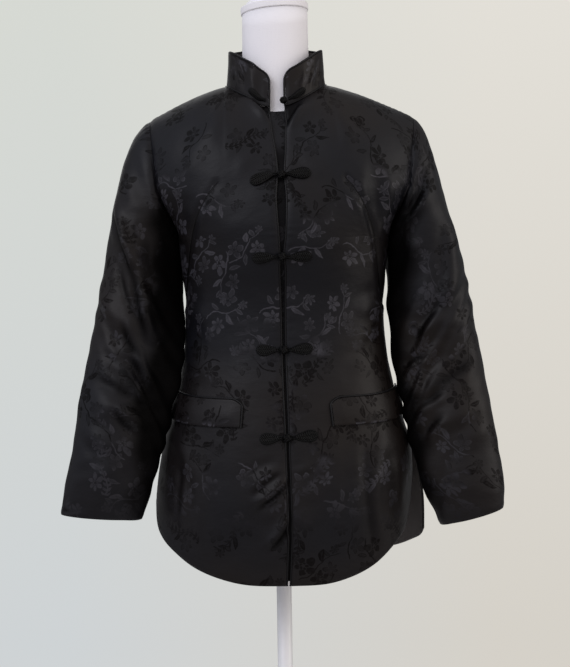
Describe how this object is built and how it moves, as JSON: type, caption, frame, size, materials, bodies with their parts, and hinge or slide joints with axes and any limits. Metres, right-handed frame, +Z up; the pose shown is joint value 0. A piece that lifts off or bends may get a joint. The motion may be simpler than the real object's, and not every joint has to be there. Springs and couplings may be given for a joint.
{
  "type": "tang jacket on limbless dress form and stand",
  "caption": "Padded black jacquard satin jacket with stand collar, frog fastenings, pocket welts and curved hem, worn by a limbless dress form on a round-based pole stand.",
  "frame": {"origin": "middle of the underside of the stand's round base", "axes": "+Z up along the pole, the jacket's front faces -Y, the wearer's left side is +X"},
  "size_m": [0.6342, 0.32, 1.5312],
  "materials": {
    "jacquard_satin": "black polyester satin with tone-on-tone floral jacquard, soft sheen",
    "piping_satin": "plain black satin bias over cord",
    "frog_cord": "black satin cord, plaited",
    "form_jersey": "matte white knit cover",
    "form_cap": "matte white knit-covered cap",
    "stand_paint": "white satin paint"
  },
  "bodies": {
    "root": {"front_right": "jacquard_satin", "front_left": "jacquard_satin", "back": "jacquard_satin", "sleeve_right": "jacquard_satin", "sleeve_left": "jacquard_satin", "collar": "jacquard_satin", "underlap": "jacquard_satin", "pocket_welt_right": "jacquard_satin", "pocket_welt_left": "jacquard_satin", "collar_piping": "piping_satin", "neck_seam_piping": "piping_satin", "front_piping_right": "piping_satin", "front_piping_left": "piping_satin", "pocket_welt_right_piping": "piping_satin", "pocket_welt_left_piping": "piping_satin", "frog_collar_right": "frog_cord", "frog_collar_left": "frog_cord", "frog_collar_knot": "frog_cord", "frog_chest_right": "frog_cord", "frog_chest_left": "frog_cord", "frog_chest_knot": "frog_cord", "frog_bust_right": "frog_cord", "frog_bust_left": "frog_cord", "frog_bust_knot": "frog_cord", "frog_waist_right": "frog_cord", "frog_waist_left": "frog_cord", "frog_waist_knot": "frog_cord", "frog_hip_right": "frog_cord", "frog_hip_left": "frog_cord", "frog_hip_knot": "frog_cord", "form_torso": "form_jersey", "form_neck_cap": "form_cap", "stand_pole": "stand_paint", "stand_base": "stand_paint"}
  },
  "joints": []
}
